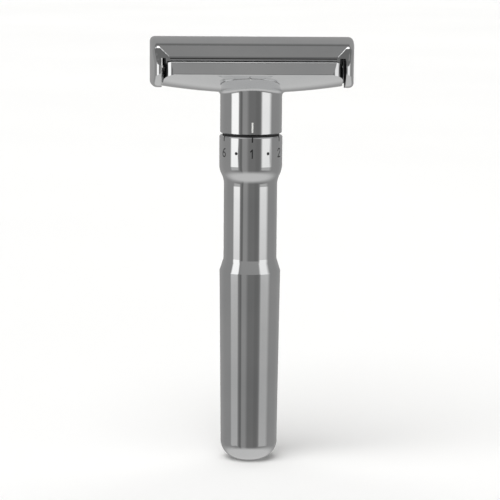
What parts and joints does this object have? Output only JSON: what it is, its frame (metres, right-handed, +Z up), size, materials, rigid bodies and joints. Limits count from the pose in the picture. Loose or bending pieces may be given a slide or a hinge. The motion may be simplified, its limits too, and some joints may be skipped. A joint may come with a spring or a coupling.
{
  "type": "adjustable safety razor",
  "caption": "Adjustable double-edge safety razor with a push-on closed-end cap, a safety-bar guard, an index collar and a numbered dial handle.",
  "frame": {"origin": "centre of the flat at the bottom of the butt, on the handle's axis", "axes": "+Z up the handle to the head, +X along the blade, the index line on the collar faces -Y"},
  "size_m": [0.0466, 0.0252, 0.0987],
  "materials": {
    "polished_chrome": "mirror polished chrome plate",
    "steel": "turned stainless steel",
    "spring_steel": "drawn spring steel",
    "blade_steel": "rolled stainless strip with honed edges",
    "brass": "turned brass",
    "black_ring": "matt black friction ring",
    "white_plastic": "white low-friction plastic",
    "black_rubber": "black rubber"
  },
  "bodies": {
    "head": {"guard_base": "polished_chrome", "pivot_sleeve": "brass", "drag_ring": "black_ring", "lift_spring": "spring_steel"},
    "handle": {"handle_body": "polished_chrome", "stop_pin": "steel", "drive_nut": "brass", "thrust_washer": "white_plastic", "end_cap": "polished_chrome", "end_cap_seal": "black_rubber"},
    "platform": {"blade_platform": "polished_chrome", "platform_screw": "steel", "spindle": "steel", "guide_pins": "steel", "clip_plate": "spring_steel", "clip_screws": "steel", "snap_clip_left": "spring_steel", "snap_clip_right": "spring_steel", "spring_washer": "steel", "spindle_circlip": "spring_steel"},
    "cap": {"cap": "polished_chrome", "cap_pin_left": "steel", "cap_pin_right": "steel"},
    "blade": {"razor_blade": "blade_steel"}
  },
  "joints": [
    {"name": "adjust_turn", "type": "hinge", "parent": "head", "child": "handle", "pos_m": [0, 0, 0.0762], "axis": [0, 0, -1], "range_deg": [0, 300]},
    {"name": "platform_lift", "type": "slide", "parent": "head", "child": "platform", "axis": [0, 0, 1], "range_m": [0, 0.00125], "deforming": ["lift_spring"]},
    {"name": "cap_lift", "type": "slide", "parent": "platform", "child": "cap", "axis": [0, 0, 1], "range_m": [0, 0.02]},
    {"name": "blade_lift", "type": "slide", "parent": "platform", "child": "blade", "axis": [0, 0, 1], "range_m": [0, 0.009]}
  ],
  "couplings": [
    {"joint": "adjust_turn", "follows": "platform_lift", "rad_per_m": 4188.8},
    {"joint": "blade_lift", "follows": "cap_lift", "ratio": 0.45}
  ]
}
